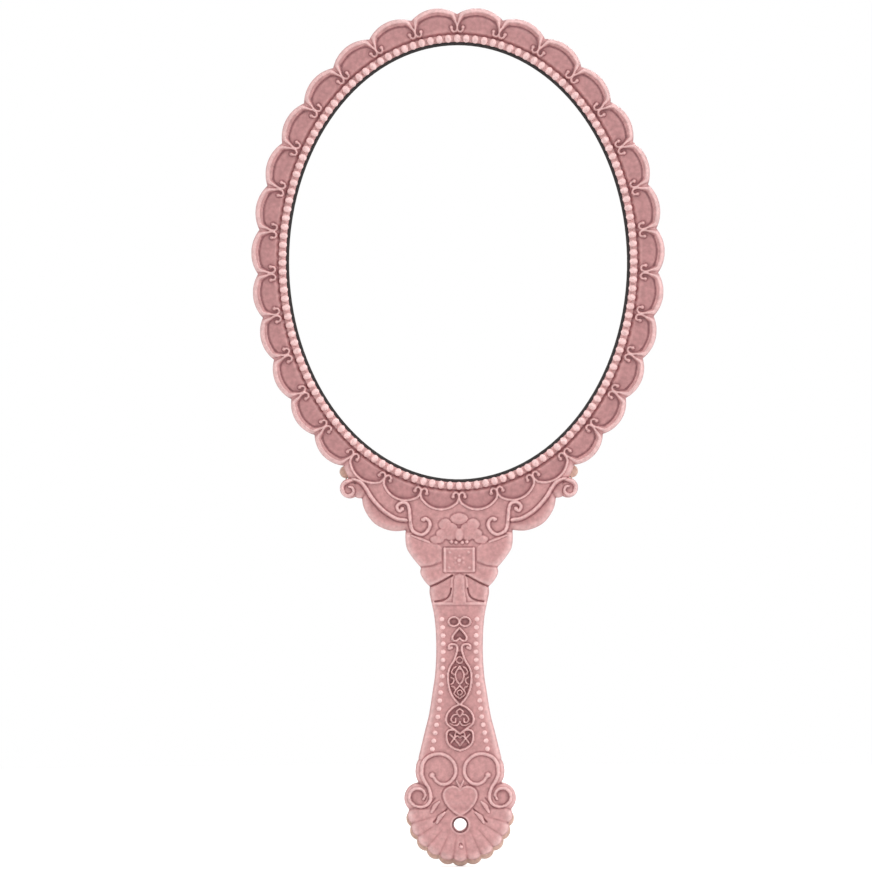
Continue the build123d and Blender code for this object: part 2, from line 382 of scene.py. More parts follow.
def lobe_point(lobe, along, out):
    """Point of a lobe: along its chord from the middle, and out from the chord."""
    middle, _, direction, outward = lobe[:4]
    return middle + direction * along + outward * out


def arch_line(lobe, inset):
    """The rib inside a lobe: an arch with a small hook at each foot."""
    _, half, _, _, rise, radius = lobe
    inner = radius - inset
    foot = [(2.15, -3.6), (2.15, -4.4), (1.65, -4.95), (1.0, -4.8), (0.6, -4.2), (0.55, -3.3),
            (0.85, -2.2)]
    arc = []
    for share in np.linspace(-1, 1, 9):
        along = share * (half - 1.5)
        arc.append((along, rise - radius + (inner**2 - along**2) ** 0.5))
    left = [(-half + x, out) for x, out in foot]
    right = [(half - x, out) for x, out in reversed(foot)]
    return smooth_line([lobe_point(lobe, *point) for point in left + arc + right], 0.2)


def foot_line(lobe):
    """The groove at the inner foot of a lobe's border."""
    _, half, _, _, rise, radius = lobe
    inner = radius - 2.25
    points = []
    for share in np.linspace(-1, 1, 9):
        along = share * (half - 1.9)
        points.append(lobe_point(lobe, along, rise - radius + (inner**2 - along**2) ** 0.5))
    return smooth_line(points, 0.3)


def head_relief(relief, field, bed, low_by):
    """The rim of the head: low fields inside the arches, painted darker as painted shade, and the
    arches' ribs.
    """
    out = from_oval(relief.x, relief.z, SIGHT_A, SIGHT_B)
    head = from_oval(relief.x, relief.z, VALLEY_A, VALLEY_B) < 3.2
    low = eased((4.7 - out) / 0.9)
    shown = []
    for lobe in LOBE_LIST:
        middle, half = lobe[:2]
        covered = middle[1] < 105
        line = arch_line(lobe, 2.1 if covered else 1.1)
        loop = np.vstack([line, [lobe_point(lobe, half - 2.2, -7.5)],
                          [lobe_point(lobe, 2.2 - half, -7.5)]])
        part = relief.near(loop, 1)
        x, z = relief.x[part], relief.z[part]
        away = to_line(x, z, np.vstack([loop, loop[:1]]))[0]
        low[part] = np.maximum(low[part], np.where(within(x, z, loop), eased(away / 0.3), 0))
        shown.append((lobe, line, covered))
    share = eased((out - 2.9) / 1.1)
    level = field - low_by * low
    relief.ground = np.where(head, bed + (level - bed) * share, relief.ground)
    # Painted shade: the low fields, and a band next to the beads, are painted darker; the bed under the
    # beads is painted paler, which lifts the painted shading there.
    painted_shade = 0.1 * low + 0.05 * eased((4.6 - out) / 1.1) - 0.9 * eased((3.0 - out) / 0.4)
    relief.painted_shade = np.where(head, painted_shade, 0)
    for lobe, line, covered in shown:
        if covered:
            relief.rib(line, 0.72, 0.42)
        else:
            relief.rib(line, (0.68, 0.68, 0.7, 1.7, 2.1, 2.15, 2.1, 1.7, 0.7, 0.68, 0.68), 0.4)
            relief.groove(foot_line(lobe), 0.6, 0.22)
        for end in (0, -1):
            relief.dome(line[end][0], line[end][1], 0.55, 0.55)


def round_edge(relief, radius):
    """Rolls the outer edge off."""
    depth = np.clip(-relief.edge, 0, radius)
    relief.ground -= radius - np.sqrt(radius**2 - (radius - depth) ** 2)


def front_relief(pitch):
    """The front face of the body."""
    relief = Relief(FRONT_LOW[2], FRONT_HIGH[2], FRONT_HIGH[0], pitch)
    body_outline(relief, 4.5, 14.4, False)
    relief.ground[:] = 4.0
    both = (-1, 1)

    # Shoulders: a lower lip outside the scroll's rib
    head_relief(relief, 4.05, 3.0, 0.4)
    below = np.vstack([SHOULDER_SCROLL, [(13.5, 87.0), (13.5, 83.5), (36.0, 82.0), (36.0, 96.0)]])
    relief.sink(below, 0.45, sides=both)
    relief.rib(SHOULDER_SCROLL, 1.15, 0.6, sides=both)
    relief.rib(SHOULDER_HOOK, 0.98, 0.62, sides=both)
    curl = smooth_line([(33.4, 96.1), (32.9, 94.7), (31.4, 94.2), (30.2, 95.2), (30.5, 96.5),
                        (31.4, 96.8)])
    relief.rib(curl, (1.15, 0.7), 0.55, sides=both)
    relief.dome(16.3, 90.4, 0.62, 0.6, sides=both)
    relief.dome(10.1, 87.3, 0.6, 0.6, sides=both)

    # Neck block: leaves, flower and square panel
    leaf = [(15.8, 83.4), (15.4, 79.8), (13.7, 76.7), (11.2, 73.8), (8.0, 74.1), (4.9, 75.4),
            (4.9, 79.3), (6.4, 80.7), (8.4, 81.1), (10.8, 82.1), (13.2, 83.0)]
    relief.terrace(leaf, 4.2, 0.35, sides=both)
    fold = smooth_line([(13.6, 82.8), (10.8, 81.8), (8.6, 80.9)])
    relief.rib(fold, (0.5, 0.9, 0.6), 0.25, sides=both)
    leaf = [(11.6, 73.6), (11.3, 71.8), (10.0, 69.7), (8.6, 68.0), (5.6, 69.5), (1.9, 71.6),
            (3.9, 72.4), (5.0, 74.0), (8.0, 73.8)]
    relief.terrace(leaf, 4.1, 0.3, sides=both)
    relief.groove(smooth_line([(11.4, 73.7), (8.2, 74.0), (5.2, 74.9)]), 0.7, 0.16, sides=both)
    leaf = [(8.9, 67.8), (8.5, 63.6), (6.6, 63.9), (4.5, 64.3), (2.9, 65.5), (2.3, 67.8),
            (2.0, 71.0), (5.4, 69.3)]
    relief.terrace(leaf, 3.65, 0.3, sides=both)
    relief.groove(smooth_line([(8.6, 68.0), (5.5, 69.4), (2.0, 71.3)]), 0.7, 0.85, sides=both)
    fold = smooth_line([(6.9, 63.8), (4.5, 64.3), (2.9, 65.5), (2.3, 67.6)])
    relief.groove(fold, 0.65, 0.75, sides=both)
    column = [(0.0, 71.9), (1.1, 71.3), (1.5, 69.8), (1.5, 67.0), (2.0, 63.3)]
    relief.pad(np.array(column + [(-x, z) for x, z in column[:0:-1]]), 0.25, 0.7)
    relief.rib(np.array([(-7.4, 63.2), (7.4, 63.2)]), 0.8, 0.2)
    for x, z, wide, tall in ((0.0, 87.5, 2.5, 1.6), (3.9, 85.8, 1.9, 1.75), (4.7, 83.1, 1.9, 1.6),
                             (6.3, 81.6, 2.0, 1.15), (2.4, 83.9, 2.2, 2.6)):
        angles = np.linspace(0, tau, 24)[:-1]
        petal = np.column_stack([x + wide * np.cos(angles), z + tall * np.sin(angles)])
        relief.pad(petal, 0.34, 1.1, 0.14, sides=both)
    relief.dome(0.0, 83.0, 1.35, 0.72, 1.35)
    for x in (0.0, 0.65):
        relief.groove(np.array([(x, 81.9), (x, 84.1)]), 0.3, 0.12, sides=both)
    for x, z in ((0.9, 80.7), (2.2, 80.9)):
        relief.dome(x, z, 0.5, 0.6, sides=both)
    panel = np.array([(-4.3, 72.3), (4.3, 72.3), (4.3, 79.2), (-4.3, 79.2)])
    relief.pad(panel, 0.22, 0.4)
    relief.rib(np.array([(4.1, 72.5), (4.1, 79.0)]), 0.75, 0.5, sides=both)
    relief.rib(np.array([(-4.0, 72.5), (4.0, 72.5)]), 0.6, 0.3)
    relief.rib(np.array([(-4.0, 79.0), (4.0, 79.0)]), 0.6, 0.3)
    relief.dome(0.0, 75.6, 0.7, 0.65)
    for turn in range(6):
        angle = radians(30 + 60 * turn)
        relief.dome(1.25 * cos(angle), 75.6 + 1.25 * sin(angle), 0.6, 0.38)
    for x, z in ((2.9, 73.5), (2.7, 77.9)):
        relief.dome(x, z, 0.5, 0.5, sides=both)

    # Handle: filigree, then the fan-shaped end
    handle_filigree(relief)
    end_relief(relief, 4.5)
    return relief


def back_relief(pitch):
    """The back face of the body, outside the panel."""
    relief = Relief(BACK_LOW[2], BACK_HIGH[2], BACK_HIGH[0], pitch)
    body_outline(relief, 3.5, 14.8, True)
    relief.ground[:] = 3.3
    head_relief(relief, 3.4, 2.2, 0.4)
    both = (-1, 1)
    relief.rib(SHOULDER_SCROLL, 1.2, 0.7, sides=both)
    relief.rib(SHOULDER_HOOK, 1.1, 0.7, sides=both)
    relief.rib(circle_line(31.5, 96.1, 1.9), 0.9, 0.5, sides=both)
    relief.dome(31.5, 96.1, 0.7, 0.35, sides=both)
    shell = smooth_line([(0.0, 73.5), (5.5, 75.5), (8.2, 80.0), (6.5, 84.5), (0.0, 87.5)], 0.4)
    relief.pad(np.vstack([shell, (shell * (-1, 1))[::-1][1:-1]]), 0.4, 1.2)
    for step in range(-3, 4):
        angle = radians(90 + 24 * step)
        tip = (8.6 * cos(angle), 76.0 + 9.8 * sin(angle) * 0.9)
        bend = (tip[0] * 0.55, 75.0 + (tip[1] - 75.0) * 0.5)
        relief.rib(smooth_line([(0.0, 75.0), bend, tip]), 1.3, 0.75)
    leaf = [(0.4, 0.0), (1.7, 1.6), (2.9, 3.8), (3.0, 6.0), (1.8, 7.3), (0.9, 6.3)]
    for foot in (23.0, 31.0, 39.0, 47.0, 55.0):
        shape = [(x * (0.62 + 0.2 * abs(foot - 47) / 24), foot + z) for x, z in leaf]
        relief.rib(smooth_line(shape), 0.9, 0.65, sides=both)
        relief.dome(0.0, foot + 3.4, 0.8, 0.6, 1.7)
    relief.rib(np.array([(-7.8, 63.4), (7.8, 63.4)]), 1.0, 0.5)
    end_relief(relief, 3.5)
    return relief


def panel_relief(pitch):
    """The oval panel on the back of the head, with its medallion."""
    relief = Relief(HEAD_Z - LIP_B - 1, HEAD_Z + LIP_B + 1, LIP_A + 1, pitch)
    relief.edge = from_oval(relief.x, relief.z, LIP_A + 0.7, LIP_B + 0.7)
    out = from_oval(relief.x, relief.z, LIP_A, LIP_B)
    relief.ground[:] = 3.1 - 1.0 * eased((out + 3.0) / 3.0)
    both = (-1, 1)
    oval = np.vstack([oval_line(17.0, 24.0, 120), oval_line(17.0, 24.0, 120)[:1]])
    relief.rib(oval, 1.5, 1.0)
    oval = np.vstack([oval_line(13.3, 20.0, 120), oval_line(13.3, 20.0, 120)[:1]])
    relief.rib(oval, 1.1, 0.8)
    for turn in range(8):
        angle = tau * turn / 8
        petal = smooth_line([(x * cos(angle) + z * sin(angle), HEAD_Z - x * sin(angle) + z * cos(angle))
                             for x, z in ((0.0, 1.6), (1.7, 4.2), (1.9, 7.0), (0.0, 9.6),
                                          (-1.9, 7.0), (-1.7, 4.2))], 0.5, True)
        relief.pad(petal[:-1], 0.85, 1.6)
    relief.dome(0, HEAD_Z, 2.2, 1.3)
    for up in (1, -1):
        for shape, width in (
            ([(2.0, 27.0), (5.5, 28.5), (9.5, 33.0), (9.0, 38.5), (4.5, 41.0), (1.6, 38.0),
              (3.6, 35.6)], 1.5),
            ([(1.2, 46.5), (4.0, 44.8), (9.0, 44.0), (14.0, 41.0), (16.5, 36.0), (14.5, 31.5),
              (11.5, 32.5), (12.4, 35.2)], 1.5),
            ([(19.5, 3.0), (23.5, 5.5), (27.0, 11.5), (25.5, 17.5), (21.0, 18.0), (20.3, 14.3),
              (22.6, 13.3)], 1.5),
            ([(33.0, 1.5), (31.0, 6.5), (32.0, 13.0), (30.0, 20.0), (25.0, 25.0), (20.0, 26.0),
              (18.5, 22.8), (21.0, 21.6)], 1.5),
        ):
            line = smooth_line([(x, HEAD_Z + up * z) for x, z in shape], 0.4)
            relief.rib(line, width, 0.85, sides=both)
            relief.dome(line[-1][0], line[-1][1], 1.1, 0.9, sides=both)
        relief.dome(0, HEAD_Z + up * 30.0, 1.5, 0.9, 1.6)
        relief.dome(0, HEAD_Z + up * 50.5, 1.5, 0.9, 1.5)
    oval = oval_line(LIP_A - 5.2, LIP_B - 5.2, 160)
    relief.rib(np.vstack([oval, oval[:1]]), 1.0, 0.6)
    return relief


def handle_filigree(relief):
    """The pierced-looking scroll work down the middle of the handle."""
    both = (-1, 1)
    curls = smooth_line([(2.4, 50.7), (3.0, 50.3), (3.0, 51.3), (2.1, 51.7), (1.0, 51.4), (0.6, 50.3),
                         (0.9, 48.8), (1.6, 46.9), (2.7, 45.1), (3.3, 42.9), (3.2, 40.4), (2.7, 38.2),
                         (1.8, 36.4), (0.7, 35.1), (0.0, 34.4)])
    lower_heart = smooth_line([(0.0, 34.4), (1.8, 33.6), (3.35, 32.0), (3.9, 30.2), (3.5, 28.8),
                               (2.1, 27.7), (0.0, 26.0)])
    bottom = smooth_line([(0.0, 26.0), (1.8, 27.1), (3.35, 26.8), (3.8, 25.2), (3.35, 23.3),
                          (1.8, 21.9), (0.0, 21.3)])
    upper_heart = smooth_line([(0.0, 56.25), (1.0, 55.2), (1.95, 53.8), (1.8, 52.8), (0.9, 52.7),
                               (0.0, 53.4)])
    for line in (curls[24:], lower_heart, bottom, upper_heart):
        loop = np.vstack([line, (line * (-1, 1))[::-1]])
        # The shade paints the recess floors darker, as painted shade.
        relief.sink(loop, 0.45, shade=0.06)
    for line in (curls, lower_heart, bottom, upper_heart):
        relief.rib(line, 0.66, 0.5, sides=both)
    loop = np.column_stack([1.6 + 1.5 * np.cos(np.linspace(0, tau, 30)),
                            58.1 + 1.25 * np.sin(np.linspace(0, tau, 30))])
    # The shade paints the loops' floors darker, as painted shade.
    relief.sink(loop[:-1], 0.4, sides=both, shade=0.05)
    relief.rib(loop, 0.62, 0.48, sides=both)
    relief.dome(2.35, 50.7, 0.5, 0.5, sides=both)
    relief.rib(circle_line(0, 47.1, 0.93), 0.5, 0.55)
    relief.dome(0, 44.7, 0.45, 0.6)
    for points in (
        [(0, 45.4), (1.2, 43.2), (0.9, 41.3), (0, 40.1)],
        [(1.1, 45.2), (1.9, 44.6), (2.3, 43.6), (1.7, 42.9)],
        [(2.6, 42.2), (1.7, 41.6), (1.9, 40.6), (2.5, 40.2)],
        [(2.3, 39.6), (1.6, 39.3), (1.2, 38.7)],
        [(0.0, 39.8), (1.6, 37.6), (0.0, 36.1)],
        [(0.9, 31.6), (1.9, 31.3), (2.5, 30.3), (2.1, 29.3), (1.2, 29.4), (1.2, 30.3)],
        [(2.9, 29.0), (1.6, 28.4), (0.5, 28.6), (0.0, 29.6)],
        [(0.0, 33.2), (0.9, 32.4), (0.5, 31.4), (0.0, 30.9)],
        [(2.9, 25.9), (1.7, 24.7), (0.0, 22.6)],
        [(1.2, 26.3), (1.7, 24.7), (2.6, 23.4)],
        [(0.0, 24.9), (0.8, 25.4), (1.7, 24.7)],
    ):
        relief.rib(smooth_line(points), 0.5, 0.66, 0.08, sides=both)
    relief.rib(circle_line(0, 37.8, 0.7), 0.45, 0.66)


def end_relief(relief, fan_z):
    """The fan-shaped end: flutes, scrolls and heart."""
    both = (-1, 1)
    part = relief.near([(-17, -13), (17, 9)], 0)
    x, z = relief.x[part], relief.z[part]
    out = np.hypot(x, z - fan_z)
    turn = np.degrees(np.arctan2(z - fan_z, x)) % 360
    place = (turn - 180) / (180 / 11)
    middle = np.abs(place - np.floor(place) - 0.5) * 2
    flute = 0.36 * np.sqrt(np.clip(1 - middle**2 * 0.92, 0, 1)) * eased((out - 6.5) / 4.0)
    flute = np.where(turn >= 180, flute, 0)
    fan = eased((6.5 - z) / 2)
    relief.ground[part] += fan * (flute - 0.3)
    ring = smooth_line([(8.1, 14.0), (7.5, 13.5), (6.7, 12.4), (5.1, 11.6), (3.4, 11.9), (1.9, 13.3),
                        (1.2, 15.1), (1.7, 17.6), (3.6, 19.6), (6.2, 20.3), (9.0, 19.5), (10.6, 17.6),
                        (10.9, 15.3), (10.9, 14.3), (10.2, 12.5), (9.0, 10.5), (8.4, 8.4), (8.6, 6.9),
                        (9.5, 5.7), (11.2, 5.1), (13.0, 5.5)])
    relief.rib(ring, (0.8, 0.95, 0.95, 0.95, 1.05, 1.05, 0.95, 0.95, 0.7), 0.45, sides=both)
    relief.dome(8.0, 14.2, 0.75, 0.45, sides=both)
    curl = smooth_line([(13.0, 5.5), (14.4, 7.0), (14.3, 9.1), (12.8, 10.4), (10.9, 10.1), (10.0, 8.6),
                        (10.5, 7.3)])
    relief.sink(circle_line(11.9, 7.7, 2.5)[:-1], 0.3, 0.6, sides=both)
    relief.rib(curl, (0.8, 0.9, 0.9, 0.7), 0.45, sides=both)
    heart = smooth_line([(0.0, 9.9), (1.2, 10.9), (2.7, 11.1), (4.3, 10.3), (5.0, 8.6), (4.5, 6.7),
                         (3.3, 4.9), (1.6, 3.4), (0.0, 2.5)])
    loop = np.vstack([heart, (heart * (-1, 1))[::-1][1:-1]])
    relief.pad(loop, 0.24, 0.5, 0.16)
    relief.rib(heart * (0.93, 0.94) + (0, 0.4), 0.65, 0.38, sides=both)
    relief.groove(np.array([(3.8, 4.5), (7.6, 0.8)]), 0.7, 0.4, sides=both)
    relief.groove(np.array([(7.2, 7.6), (9.6, 5.0)]), 0.7, 0.25, sides=both)
    relief.rib(smooth_line([(6.0, 6.6), (7.2, 5.4), (8.2, 3.6)]), (0.6, 1.3, 0.7), 0.32, sides=both)
    relief.rib(smooth_line([(4.4, 3.5), (5.8, 2.2), (6.7, 0.6)]), (0.6, 1.3, 0.7), 0.32, sides=both)
    relief.rib(np.array([(1.0, 12.5), (0.0, 10.5)]), (0.5, 0.7), 0.3, sides=both)
    relief.groove(circle_line(0.1, -5.7, 0.35), 0.6, 0.3)
    relief.dome(0.25, -6.3, 0.5, 0.4)


def hang_hole(relief, level):
    """The countersunk mouth of the hang hole and its bore."""
    part = relief.near([(0, 0)], 4)
    out = np.hypot(relief.x[part], relief.z[part])
    flat = eased((3.1 - out) / 0.7)
    for field in (relief.up, relief.down):
        field[part] *= 1 - flat
    cone = np.clip(2.4 - out, 0, 0.7) * 1.15
    relief.ground[part] = relief.ground[part] * (1 - flat) + level * flat - cone
    relief.edge[part] = np.maximum(relief.edge[part], 1.8 + 0.02 - out)


def add_object(name, mesh, material):
    """Links a mesh into the scene as a finished object at the origin."""
    made = bpy.data.objects.new(name, mesh)
    bpy.context.scene.collection.objects.link(made)
    if material is not None:
        mesh.materials.clear()
        mesh.materials.append(material)
    return made


def relief_mesh(name, relief, height, painted_shading, cells, facing, lip_level=None, floor_level=0.0,
                lip_back=0.0):
    """A closed mesh of the net's cells that are asked for.

    Its top follows the heights, its edge is brought onto the outline, and walls close it
    down to the floor level. Along the head's lip the wall stops at the lip level, and
    the pocket for the glass lies behind it.
    """
    rows, columns = relief.x.shape
    index = np.arange(rows * columns).reshape(rows, columns)
    good = relief.edge <= 0.35 * relief.pitch
    a, b = index[:-1, :-1], index[1:, :-1]
    c, d = index[1:, 1:], index[:-1, 1:]
    swap = ((relief.x[:-1, :-1] * (relief.z[:-1, :-1] - 60)) > 0)[..., None]
    one = np.where(swap, np.stack([a, b, c], -1), np.stack([a, b, d], -1))
    two = np.where(swap, np.stack([a, c, d], -1), np.stack([b, c, d], -1))
    triangles = np.concatenate([one[cells], two[cells]])
    triangles = triangles[good.ravel()[triangles].all(axis=1)]
    used, triangles = np.unique(triangles, return_inverse=True)
    triangles = triangles.reshape(-1, 3)

    # Edges that only one triangle uses
    count = len(used)
    edges = np.concatenate([triangles[:, (0, 1)], triangles[:, (1, 2)], triangles[:, (2, 0)]])
    forward = edges[:, 0] * count + edges[:, 1]
    backward = edges[:, 1] * count + edges[:, 0]
    rim = edges[~np.isin(forward, backward)]

    # Bring the outline's points onto it
    slope_x, slope_z = np.gradient(relief.edge, relief.pitch)
    length = np.maximum(np.hypot(slope_x, slope_z), 1e-6)
    slope_x, slope_z = (slope_x / length).ravel()[used], (slope_z / length).ravel()[used]
    away = relief.edge.ravel()[used]
    x, z = relief.x.ravel()[used].copy(), relief.z.ravel()[used].copy()
    on_rim = np.zeros(count, bool)
    on_rim[rim.ravel()] = True
    outer = on_rim & (away > -1.6 * relief.pitch)
    x[outer] -= away[outer] * slope_x[outer]
    z[outer] -= away[outer] * slope_z[outer]
    y = height.ravel()[used]

    # Level the outline's points along the edge, so that the walls are not ribbed
    ends_here = np.zeros(count, bool)
    joined = outer[rim]
    ends_here[rim[joined[:, 0] != joined[:, 1]].ravel()] = True
    free = outer & ~ends_here
    shares = np.bincount(rim.ravel(), minlength=count)
    for _ in range(10):
        sums = np.bincount(rim[:, 0], y[rim[:, 1]], count) + np.bincount(rim[:, 1], y[rim[:, 0]], count)
        y[free] = (0.5 * y + 0.5 * sums / np.maximum(shares, 1))[free]

    rise_x, rise_z = np.gradient(height, relief.pitch)
    normal = np.stack([-rise_x.ravel()[used], np.ones(count), -rise_z.ravel()[used]], 1)
    normal[outer] = np.stack([slope_x[outer], np.full(outer.sum(), 0.35), slope_z[outer]], 1)
    normal /= np.linalg.norm(normal, axis=1)[:, None]

    rim_points = np.unique(rim)
    at = {}
    total = count
    lip_here = np.zeros(count, bool)
    if lip_level is not None:
        near_lip = np.abs(from_oval(x, z, LIP_A, LIP_B) - lip_back) < 0.25
        lip_here = outer & near_lip
    levels = [(0.0, floor_level)]
    seam = [(0.0, PARTING_CHAMFER), (0.75 * PARTING_CHAMFER, 0.0)]
    chains = {}
    extra_points, extra_normals = [], []
    for point in rim_points:
        chain = seam if outer[point] and floor_level == 0 else levels
        if lip_here[point]:
            gap = POCKET_GAP - lip_back
            chain = [(0.0, lip_level), (gap, lip_level), (gap, floor_level)]
        made = []
        for shift, level in chain:
            sx, sz = slope_x[point], slope_z[point]
            extra_points.append((x[point] - shift * sx, level, z[point] - shift * sz))
            if outer[point]:
                extra_normals.append((sx, 0.0, sz))
            else:
                extra_normals.append((0.0, -1.0, 0.0))
            made.append(total)
            total += 1
        chains[int(point)] = made
    walls = []
    bottom_edges = []
    for start, end in rim:
        first, second = chains[int(start)], chains[int(end)]
        if len(first) == len(second):
            down_a, down_b = [int(start)] + first, [int(end)] + second
            for step in range(len(first)):
                walls.append((down_b[step], down_a[step], down_a[step + 1], down_b[step + 1]))
        else:
            walls.append([int(end), int(start)] + first + second[::-1])
        bottom_edges.append((first[-1], second[-1]))

    points = np.vstack([np.stack([x, y, z], 1), extra_points])
    normals = np.vstack([normal, extra_normals])
    # Painted shading: the walls take the walls' value, and the top takes its painted highlight and
    # shade.
    painted_shadings = np.full(len(points), WALL_PAINTED_SHADING)
    painted_shadings[:count] = np.where(outer, WALL_PAINTED_SHADING, painted_shading.ravel()[used])
    points[:, 1] *= facing
    normals[:, 1] *= facing
    polygons = [tuple(face) for face in triangles] + [tuple(face) for face in walls]
    # The net runs X then Z, so its triangles face -Y as they stand
    if facing > 0:
        polygons = [face[::-1] for face in polygons]
    mesh = bpy.data.meshes.new(name)
    mesh.from_pydata((points * MM).tolist(), [], [[int(i) for i in face] for face in polygons])
    fill_floor(mesh, bottom_edges, facing)
    values = mesh.attributes.new("painted_shading", "FLOAT", "POINT")
    values.data.foreach_set("value", painted_shadings.astype(np.float32))
    set_normals(mesh, normals, len(polygons), facing)
    return mesh


def fill_floor(mesh, edges, facing):
    """Closes a mesh with flat faces inside the given edges."""
    floor = bmesh.new()
    floor.from_mesh(mesh)
    floor.verts.ensure_lookup_table()
    edges_below = [floor.edges.get((floor.verts[start], floor.verts[end])) for start, end in edges]
    filled = bmesh.ops.triangle_fill(floor, edges=[edge for edge in edges_below if edge],
                                     use_beauty=False, use_dissolve=False,
                                     normal=(0, -facing, 0))
    for face in filled["geom"]:
        if isinstance(face, bmesh.types.BMFace) and face.normal.y * -facing < 0:
            face.normal_flip()
    floor.to_mesh(mesh)
    floor.free()


def set_normals(mesh, normals, floor_start, facing):
    """Smooth shading by the points' normals, with the floor's faces left flat."""
    mesh.polygons.foreach_set("use_smooth", np.ones(len(mesh.polygons), bool))
    corners = np.empty(len(mesh.loops), int)
    mesh.loops.foreach_get("vertex_index", corners)
    starts = np.empty(len(mesh.polygons), int)
    mesh.polygons.foreach_get("loop_start", starts)
    at_corners = normals[corners]
    if len(starts) > floor_start:
        at_corners[starts[floor_start]:] = (0, -facing, 0)
    mesh.normals_split_custom_set(at_corners.tolist())
    mesh.update()


def painted_shading_of(relief, height):
    """How far each point stands out of its surroundings, as painted shading: 0.5 is level, 1 stands out
    and is painted as a highlight, 0 lies in a hollow and is painted as shade.
    """
    around = soften(height.copy(), int(28 * (0.22 / relief.pitch) ** 2))
    painted_shading = 0.5 + (height - around) * 1.25
    # Painted shade in the hang hole's countersink: its wall is painted dark.
    mouth = eased((2.5 - np.hypot(relief.x, relief.z)) / 0.25)
    return np.clip(np.clip(painted_shading - relief.painted_shade, 0.17, 0.85) - 0.8 * mouth, 0, 1)


def finish_piece(name, mesh, material, node):
    """Adds a piece that rides on the body and stands for a node of the frame."""
    piece = add_object(name, mesh, material)
    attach(piece, "root")
    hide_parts(node)


def oval_line(half_width, half_height, count):
    """Points round an oval about the head's centre, without the closing one."""
    angles = np.arange(count) * tau / count
    return np.column_stack([half_width * np.sin(angles), HEAD_Z + half_height * np.cos(angles)])


def bead_tree():
    """Node tree that sets beads at even steps along the lines it is given."""
    tree = bpy.data.node_groups.new("Bead row", "GeometryNodeTree")
    face = tree.interface
    face.new_socket("Geometry", in_out="INPUT", socket_type="NodeSocketGeometry")
    count = face.new_socket("Count", in_out="INPUT", socket_type="NodeSocketInt")
    count.default_value, count.min_value = 100, 2
    size = face.new_socket("Bead size", in_out="INPUT", socket_type="NodeSocketVector")
    size.default_value = (0.002, 0.002, 0.002)
    face.new_socket("Material", in_out="INPUT", socket_type="NodeSocketMaterial")
    face.new_socket("Geometry", in_out="OUTPUT", socket_type="NodeSocketGeometry")
    given = tree.nodes.new("NodeGroupInput").outputs
    curve = add_node(tree, "GeometryNodeMeshToCurve", feeds={"Mesh": given["Geometry"]})
    even = add_node(tree, "GeometryNodeResampleCurve",
                    feeds={"Curve": curve.outputs["Curve"], "Count": given["Count"]})
    along = tree.nodes.new("GeometryNodeInputTangent")
    turn = add_node(tree, "FunctionNodeAlignRotationToVector", axis="X", pivot_axis="Y",
                    feeds={"Vector": along.outputs["Tangent"]})
    ball = add_node(tree, "GeometryNodeMeshUVSphere",
                    {"Segments": 12, "Rings": 8, "Radius": 0.5})
    smooth = add_node(tree, "GeometryNodeSetShadeSmooth", feeds={"Geometry": ball.outputs["Mesh"]})
    place = add_node(tree, "GeometryNodeInstanceOnPoints", feeds={
        "Points": even.outputs["Curve"], "Instance": smooth.outputs["Geometry"],
        "Rotation": turn.outputs["Rotation"], "Scale": given["Bead size"]})
    real = add_node(tree, "GeometryNodeRealizeInstances",
                    feeds={"Geometry": place.outputs["Instances"]})
    paint = add_node(tree, "GeometryNodeSetMaterial",
                     feeds={"Geometry": real.outputs["Geometry"], "Material": given["Material"]})
    add_node(tree, "NodeGroupOutput", feeds={"Geometry": paint.outputs["Geometry"]})
    return tree


def bead_row(name, tree, lines, closed, level, count, size, material):
    """Mesh of beads along lines in the plane of the given level."""
    points, edges = [], []
    for line in lines:
        first = len(points)
        points += [(x * MM, level * MM, z * MM) for x, z in line]
        edges += [(first + step, first + step + 1) for step in range(len(line) - 1)]
        if closed:
            edges.append((first + len(line) - 1, first))
    path = bpy.data.meshes.new(f"{name}_path")
    path.from_pydata(points, edges, [])
    holder = bpy.data.objects.new(f"{name}_path", path)
    bpy.context.scene.collection.objects.link(holder)
    modifier = holder.modifiers.new("Bead row", "NODES")
    modifier.node_group = tree
    values = {"Count": count, "Bead size": tuple(side * MM for side in size), "Material": material}
    for item in tree.interface.items_tree:
        if item.in_out == "INPUT" and item.name in values:
            modifier[item.identifier] = values[item.name]
    bpy.context.view_layer.update()
    made = bpy.data.meshes.new_from_object(holder.evaluated_get(bpy.context.evaluated_depsgraph_get()))
    made.name = name
    holder.modifiers.clear()
    bpy.data.objects.remove(holder)
    bpy.data.meshes.remove(path)
    # Painted highlight: the beads are painted pale, palest on their tops.
    painted_shading = made.attributes.new("painted_shading", "FLOAT", "POINT")
    heights = np.empty(len(made.vertices) * 3)
    made.vertices.foreach_get("co", heights)
    out = np.abs(heights[1::3]) / MM - abs(level)
    painted_shading.data.foreach_set("value", np.clip(0.8 + 0.3 * out / (size[1] / 2), 0, 1).astype(np.float32))
    return made


def add_node(tree, kind, values=None, feeds=None, **settings):
    """A node with its settings and constants, and its inputs linked to what feeds them."""
    node = tree.nodes.new(kind)
    for name, value in settings.items():
        setattr(node, name, value)
    for name, value in (values or {}).items():
        node.inputs[name].default_value = value
    for name, source in (feeds or {}).items():
        tree.links.new(source, node.inputs[name])
    return node


def new_material(name):
    """A material, its node tree, its main shader's inputs and the object's own coordinates."""
    made = bpy.data.materials.new(name)
    made.use_nodes = True
    tree = made.node_tree
    place = tree.nodes.new("ShaderNodeTexCoord").outputs["Object"]
    return made, tree, tree.nodes["Principled BSDF"].inputs, place


def add_noise(tree, place, scale, detail=2.0):
    """Fine noise through the object."""
    noise = add_node(tree, "ShaderNodeTexNoise", {"Scale": scale, "Detail": detail},
                     {"Vector": place})
    return noise.outputs["Fac"]


